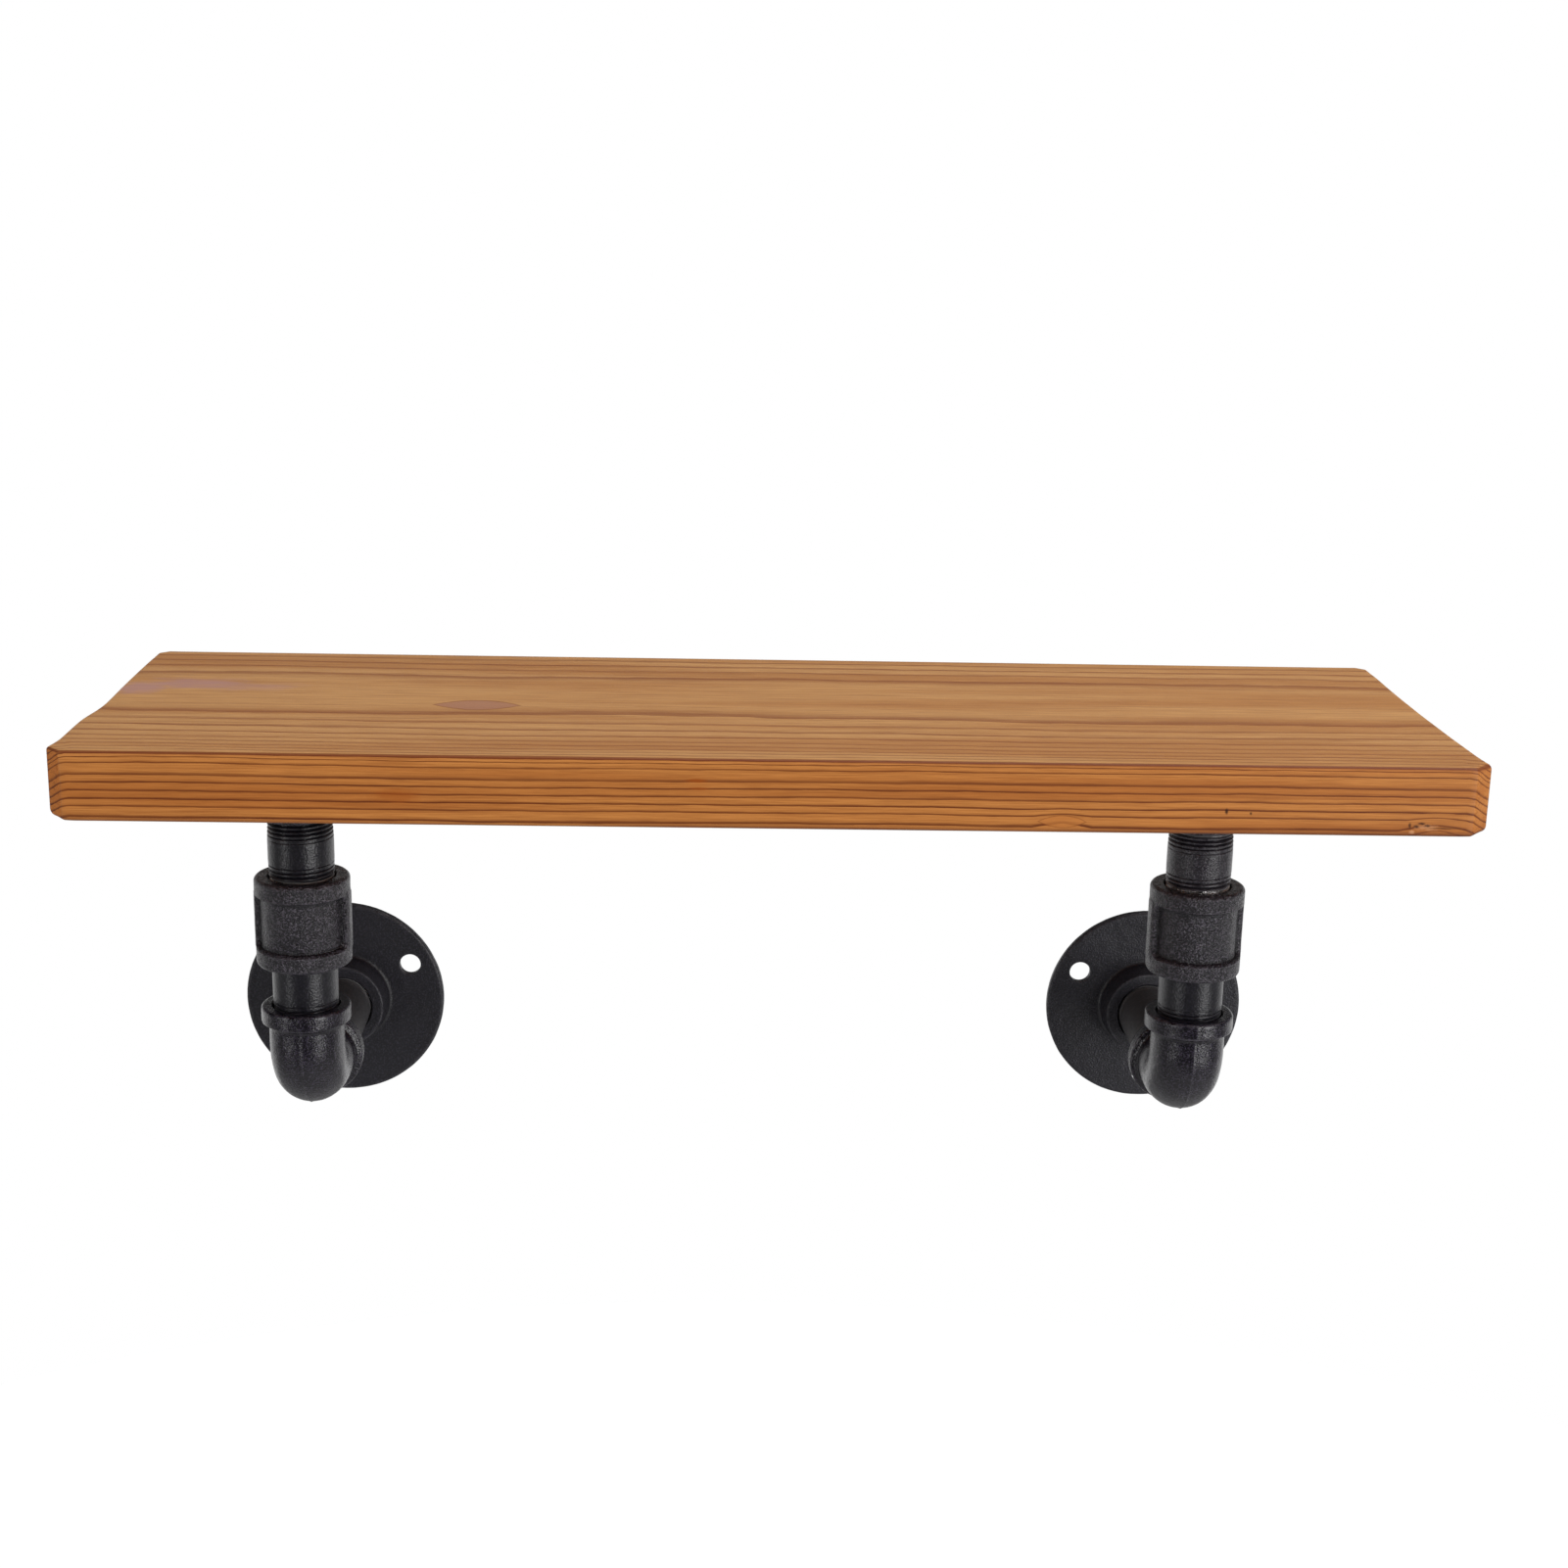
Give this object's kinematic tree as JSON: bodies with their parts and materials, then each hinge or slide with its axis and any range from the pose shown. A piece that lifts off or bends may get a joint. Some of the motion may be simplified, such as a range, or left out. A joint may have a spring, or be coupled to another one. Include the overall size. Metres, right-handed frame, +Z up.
{
  "type": "pipe shelving unit",
  "caption": "Loose pine board resting on wall brackets built from threaded black iron pipe fittings, each with flange, elbow, coupling and cap.",
  "frame": {"origin": "on the wall plane, midway between the centres of the two wall flanges, at the height of those centres", "axes": "+Z up, +X along the wall to the right as seen from the room, +Y into the wall, so the shelf stands out towards -Y"},
  "size_m": [0.541, 0.184, 0.2068],
  "materials": {
    "pine": "oiled, satin, with dark growth lines",
    "cast_black": "black coating over fine casting grit, satin",
    "pipe_black": "black lacquer on drawn pipe, semi-gloss"
  },
  "bodies": {
    "brackets": {"left_wall_flange": "cast_black", "left_arm_nipple": "pipe_black", "left_elbow": "cast_black", "left_lower_nipple": "pipe_black", "left_coupling": "cast_black", "left_upper_nipple": "pipe_black", "right_wall_flange": "cast_black", "right_arm_nipple": "pipe_black", "right_elbow": "cast_black", "right_lower_nipple": "pipe_black", "right_coupling": "cast_black", "right_upper_nipple": "pipe_black"},
    "board": {"shelf_board": "pine"},
    "left_cap": {"left_cap": "cast_black"},
    "right_cap": {"right_cap": "cast_black"}
  },
  "joints": [
    {"name": "board_lift", "type": "slide", "parent": "brackets", "child": "board", "axis": [0, 0, 1], "range_m": [0, 0.0395]},
    {"name": "left_cap_turn", "type": "hinge", "parent": "brackets", "child": "left_cap", "pos_m": [-0.1855, -0.1, 0.1149], "axis": [0, 0, 1], "range_deg": [0, 2064]},
    {"name": "right_cap_turn", "type": "hinge", "parent": "brackets", "child": "right_cap", "pos_m": [0.1855, -0.1, 0.1149], "axis": [0, 0, 1], "range_deg": [0, 2064]}
  ]
}
